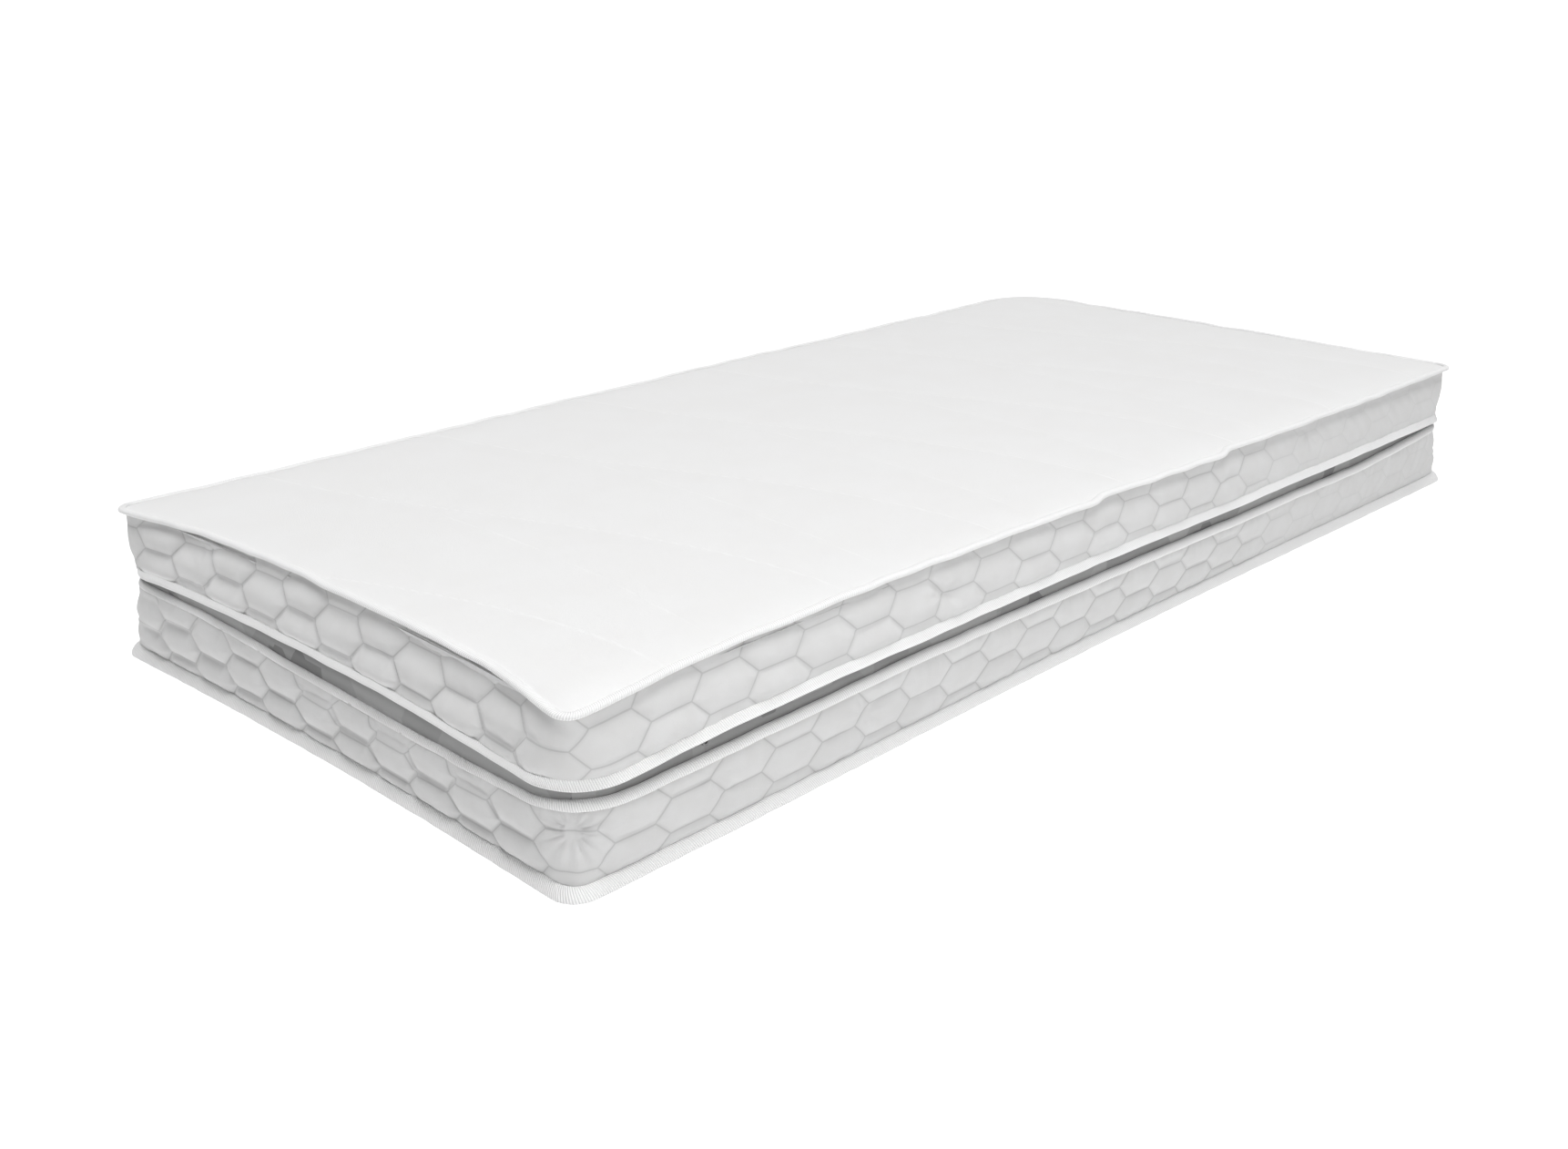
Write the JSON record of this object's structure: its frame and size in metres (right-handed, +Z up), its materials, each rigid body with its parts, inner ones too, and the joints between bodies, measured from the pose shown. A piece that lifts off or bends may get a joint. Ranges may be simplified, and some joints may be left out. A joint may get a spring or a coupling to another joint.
{
  "type": "memory foam mattress",
  "caption": "Single memory foam mattress with a quilted cover in two halves joined by a hidden zip round the sides, over a layered foam core.",
  "frame": {"origin": "middle of the underside, on the surface that the mattress rests on", "axes": "+X along the length, +Y across the width, +Z up through the thickness; the parked zip slider is on the -Y side near -X"},
  "size_m": [1.9, 0.9, 0.2],
  "materials": {
    "top_knit": "matte",
    "border_knit": "matte",
    "ribbed_tape": "matte",
    "base_fabric": "matte",
    "gusset_fabric": "matte",
    "wadding": "matte",
    "backing": "matte",
    "liner_knit": "matte",
    "zip_tape": "matte",
    "zip_coil": "satin",
    "zip_metal": "satin",
    "memory_foam": "matte",
    "transition_foam": "matte",
    "support_foam": "matte"
  },
  "bodies": {
    "lower_cover": {"bottom_panel_face": "base_fabric", "bottom_panel_wadding": "wadding", "bottom_edge_binding": "ribbed_tape", "lower_border_face": "border_knit", "lower_border_wadding": "wadding", "lower_border_backing": "backing", "lower_tape": "ribbed_tape", "gusset_band": "gusset_fabric", "lower_zip_tape": "zip_tape", "lower_zip_coil": "zip_coil"},
    "core": {"support_foam": "support_foam", "transition_foam": "transition_foam", "memory_foam": "memory_foam", "inner_liner": "liner_knit"},
    "top_cover": {"top_panel_face": "top_knit", "top_panel_wadding": "wadding", "top_panel_backing": "backing", "top_edge_binding": "ribbed_tape", "upper_border_face": "border_knit", "upper_border_wadding": "wadding", "upper_border_backing": "backing", "flap_tape": "ribbed_tape", "upper_zip_tape": "zip_tape", "upper_zip_coil": "zip_coil", "zip_end_stop": "zip_metal"},
    "zip_slider": {"slider_body": "zip_metal", "pull_rivet": "zip_metal"},
    "zip_pull": {"pull_tab": "zip_metal"}
  },
  "joints": [
    {"name": "core_lift", "type": "slide", "parent": "lower_cover", "child": "core", "axis": [0, 0, 1], "range_m": [0, 0.25]},
    {"name": "top_cover_lift", "type": "slide", "parent": "core", "child": "top_cover", "axis": [0, 0, 1], "range_m": [0, 0.25]},
    {"name": "slider_travel", "type": "slide", "parent": "top_cover", "child": "zip_slider", "axis": [1, 0, 0], "range_m": [0, 1.6]},
    {"name": "pull_swing", "type": "hinge", "parent": "zip_slider", "child": "zip_pull", "pos_m": [-0.765, -0.4402, 0.126], "axis": [0, 1, 0], "range_deg": [-80, 80]}
  ]
}
